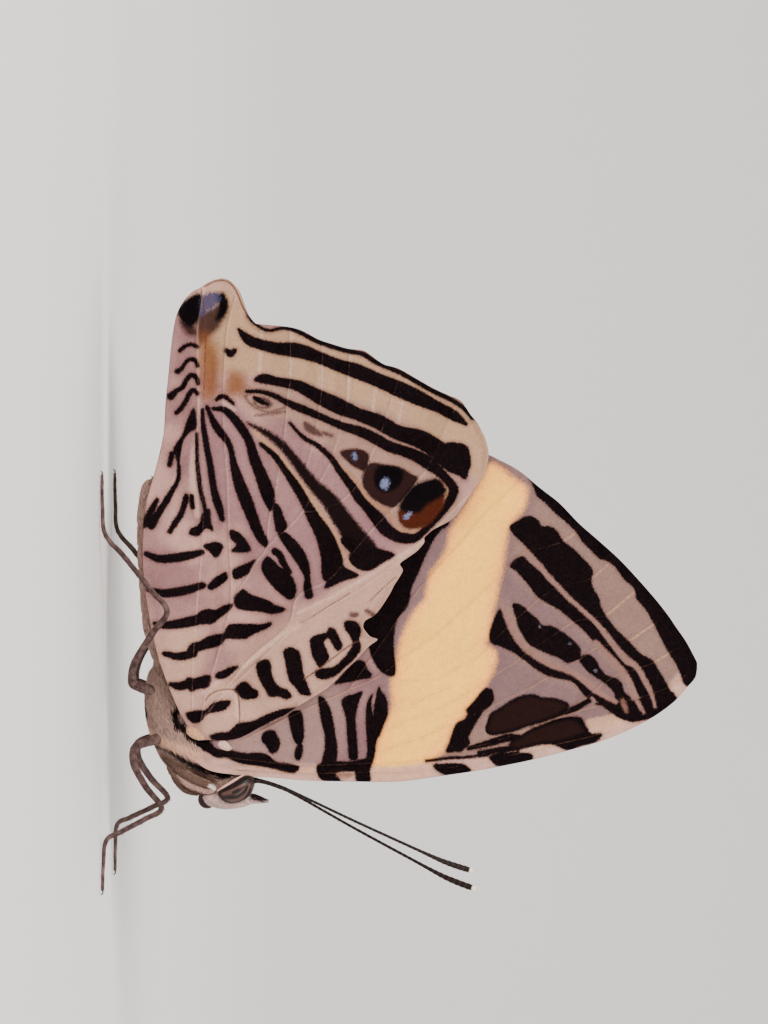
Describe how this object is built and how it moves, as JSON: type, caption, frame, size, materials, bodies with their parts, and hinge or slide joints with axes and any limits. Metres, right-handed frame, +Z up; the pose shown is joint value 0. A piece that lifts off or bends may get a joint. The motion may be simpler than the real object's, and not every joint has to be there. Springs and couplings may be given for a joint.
{
  "type": "dirce beauty butterfly",
  "caption": "Life-size butterfly model at rest on its feet, wings closed upright over the back, feelers forward.",
  "frame": {"origin": "on the floor, under the middle of the whole model's box", "axes": "+X forward towards the head, +Y to the animal's left, +Z up, away from the surface it rests on"},
  "size_m": [0.0422, 0.0146, 0.0408],
  "materials": {
    "wing_scales": "dull, with dark stripes",
    "forewing_scales": "dull, with a cream band",
    "body_fur": "short matt fur",
    "eye": "glossy, striped",
    "palp_scales": "matt",
    "horn": "satin",
    "antenna": "satin, ringed",
    "leg_scales": "matt"
  },
  "bodies": {
    "root": {"abdomen": "body_fur", "antenna_left": "antenna", "antenna_right": "antenna", "eye_left": "eye", "eye_right": "eye", "foreleg_left": "leg_scales", "foreleg_right": "leg_scales", "forewing_left": "forewing_scales", "forewing_right": "forewing_scales", "head": "body_fur", "hind_femur_left": "leg_scales", "hind_femur_right": "leg_scales", "hind_tarsus_left": "leg_scales", "hind_tarsus_right": "leg_scales", "hind_tibia_left": "leg_scales", "hind_tibia_right": "leg_scales", "hindwing_left": "wing_scales", "hindwing_right": "wing_scales", "mid_femur_left": "leg_scales", "mid_femur_right": "leg_scales", "mid_tarsus_left": "leg_scales", "mid_tarsus_right": "leg_scales", "mid_tibia_left": "leg_scales", "mid_tibia_right": "leg_scales", "palp_left": "palp_scales", "palp_right": "palp_scales", "proboscis": "horn", "thorax": "body_fur"}
  },
  "joints": []
}
